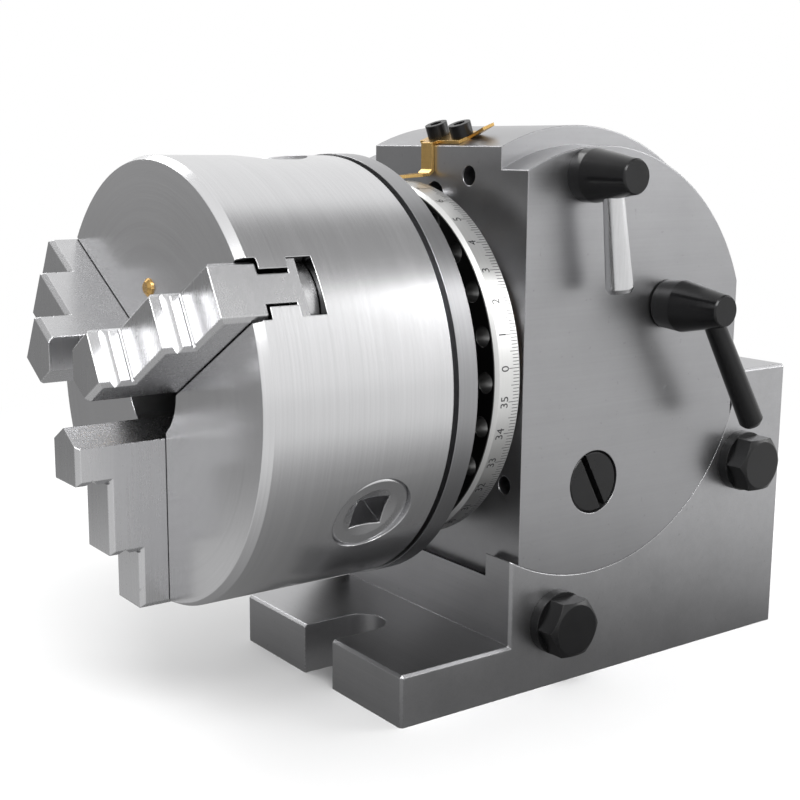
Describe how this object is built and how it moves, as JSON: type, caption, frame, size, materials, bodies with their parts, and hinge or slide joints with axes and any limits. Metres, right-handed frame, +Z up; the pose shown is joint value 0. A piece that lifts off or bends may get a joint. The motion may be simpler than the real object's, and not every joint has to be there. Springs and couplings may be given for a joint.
{
  "type": "dividing head",
  "caption": "Tilting dividing head on a slotted cast base, with worm-driven hollow spindle, graduated dial, index plate with crank and a self-centring jaw chuck.",
  "frame": {"origin": "on the underside of the base, directly below the tilt axis and half way across the width", "axes": "+X along the spindle towards the chuck, +Y across to the side with the two clamping levers (the index plate and crank are on -Y), +Z up"},
  "size_m": [0.2435, 0.1938, 0.1736],
  "materials": {
    "base_casting": "ground",
    "ground_steel": "ground",
    "chuck_steel": "fine ground",
    "jaw_steel": "ground",
    "bright_steel": "polished",
    "plate_steel": "turned",
    "dark_steel": "hardened",
    "black_oxide": "satin",
    "bronze": "turned",
    "brass": "satin",
    "knob": "gloss"
  },
  "bodies": {
    "base": {"base": "base_casting", "clamp_bolts": "black_oxide", "clamp_washers": "black_oxide", "clamp_shoes": "dark_steel"},
    "head": {"housing": "ground_steel", "rear_cover": "ground_steel", "cover_screws": "black_oxide", "front_bush": "bronze", "rear_bush": "bronze", "worm_sleeve": "ground_steel", "worm_bush": "bronze", "worm_plug": "black_oxide", "index_plate": "plate_steel", "index_plate_screws": "black_oxide", "pointer": "brass", "pointer_screws": "black_oxide", "lock_cotters": "dark_steel"},
    "spindle": {"spindle": "bright_steel", "worm_wheel": "bronze", "wheel_key": "dark_steel", "thrust_washer": "bronze", "spindle_nut": "black_oxide", "dial": "ground_steel", "dial_screws": "black_oxide", "chuck_back_plate": "chuck_steel", "chuck_screws": "black_oxide", "chuck_body": "chuck_steel", "chuck_cover": "chuck_steel", "pinion_pins": "dark_steel", "oil_nipple": "brass"},
    "scroll": {"scroll_plate": "dark_steel"},
    "crank": {"worm": "dark_steel", "crank_arm": "black_oxide", "crank_nut": "black_oxide", "plunger_barrel": "bright_steel", "plunger_nut": "bright_steel"},
    "crank_plunger": {"plunger_pin": "bright_steel", "plunger_knob": "knob"},
    "sector_lower": {"sector_arm_lower": "bright_steel"},
    "sector_upper": {"sector_arm_upper": "bright_steel"},
    "index_lever": {"index_lever_hub": "black_oxide", "index_lever_handle": "bright_steel"},
    "index_pin": {"index_pin": "bright_steel"},
    "lock_lever": {"lock_lever_hub": "black_oxide", "lock_lever_handle": "black_oxide"},
    "jaw_1": {"jaw_1": "jaw_steel"},
    "pinion_1": {"chuck_pinion_1": "dark_steel"},
    "jaw_2": {"jaw_2": "jaw_steel"},
    "pinion_2": {"chuck_pinion_2": "dark_steel"},
    "jaw_3": {"jaw_3": "jaw_steel"},
    "pinion_3": {"chuck_pinion_3": "dark_steel"}
  },
  "joints": [
    {"name": "head_tilt", "type": "hinge", "parent": "base", "child": "head", "pos_m": [0, 0, 0.1], "axis": [0, -1, 0], "range_deg": [-10, 90]},
    {"name": "spindle_turn", "type": "hinge", "parent": "head", "child": "spindle", "pos_m": [0, 0, 0.1], "axis": [1, 0, 0], "continuous": true},
    {"name": "crank_turn", "type": "hinge", "parent": "head", "child": "crank", "pos_m": [0, 0, 0.0631], "axis": [0, 1, 0], "continuous": true},
    {"name": "crank_plunger_slide", "type": "slide", "parent": "crank", "child": "crank_plunger", "axis": [0, 1, 0], "range_m": [0, 0.0051]},
    {"name": "sector_turn", "type": "hinge", "parent": "head", "child": "sector_lower", "pos_m": [0, 0, 0.0631], "axis": [0, 1, 0], "continuous": true},
    {"name": "sector_spread", "type": "hinge", "parent": "sector_lower", "child": "sector_upper", "pos_m": [0, 0, 0.0631], "axis": [0, 1, 0], "range_deg": [-40, 120]},
    {"name": "index_lever_turn", "type": "hinge", "parent": "head", "child": "index_lever", "pos_m": [0.007, 0, 0.1573], "axis": [0, -1, 0], "range_deg": [0, 55]},
    {"name": "index_pin_slide", "type": "slide", "parent": "head", "child": "index_pin", "axis": [1, 0, 0], "range_m": [0, 0.0058]},
    {"name": "lock_lever_turn", "type": "hinge", "parent": "head", "child": "lock_lever", "pos_m": [-0.029, 0, 0.117], "axis": [0, 1, 0], "range_deg": [0, 60]},
    {"name": "scroll_turn", "type": "hinge", "parent": "spindle", "child": "scroll", "pos_m": [0, 0, 0.1], "axis": [-1, 0, 0], "range_deg": [-360, 1170]},
    {"name": "jaw_1_slide", "type": "slide", "parent": "spindle", "child": "jaw_1", "axis": [0, 0.866, 0.5], "range_m": [-0.00801, 0.02602]},
    {"name": "jaw_2_slide", "type": "slide", "parent": "spindle", "child": "jaw_2", "axis": [0, -0.866, 0.5], "range_m": [-0.00801, 0.02602]},
    {"name": "jaw_3_slide", "type": "slide", "parent": "spindle", "child": "jaw_3", "axis": [0, 0, -1], "range_m": [-0.00801, 0.02602]},
    {"name": "pinion_1_turn", "type": "hinge", "parent": "spindle", "child": "pinion_1", "pos_m": [0.0908, 0, 0.1], "axis": [0, -0.866, -0.5], "range_deg": [-1801, 5851]},
    {"name": "pinion_2_turn", "type": "hinge", "parent": "spindle", "child": "pinion_2", "pos_m": [0.0908, 0, 0.1], "axis": [0, 0.866, -0.5], "range_deg": [-1801, 5851]},
    {"name": "pinion_3_turn", "type": "hinge", "parent": "spindle", "child": "pinion_3", "pos_m": [0.0908, 0, 0.1], "axis": [0, 0, 1], "range_deg": [-1801, 5851]}
  ],
  "couplings": [
    {"joint": "spindle_turn", "follows": "crank_turn", "ratio": -0.025},
    {"joint": "index_pin_slide", "follows": "index_lever_turn", "m_per_rad": 0.006},
    {"joint": "jaw_1_slide", "follows": "scroll_turn", "m_per_rad": 0.0012732},
    {"joint": "jaw_2_slide", "follows": "scroll_turn", "m_per_rad": 0.0012732},
    {"joint": "jaw_3_slide", "follows": "scroll_turn", "m_per_rad": 0.0012732},
    {"joint": "pinion_1_turn", "follows": "scroll_turn", "ratio": 5},
    {"joint": "pinion_2_turn", "follows": "scroll_turn", "ratio": 5},
    {"joint": "pinion_3_turn", "follows": "scroll_turn", "ratio": 5}
  ]
}
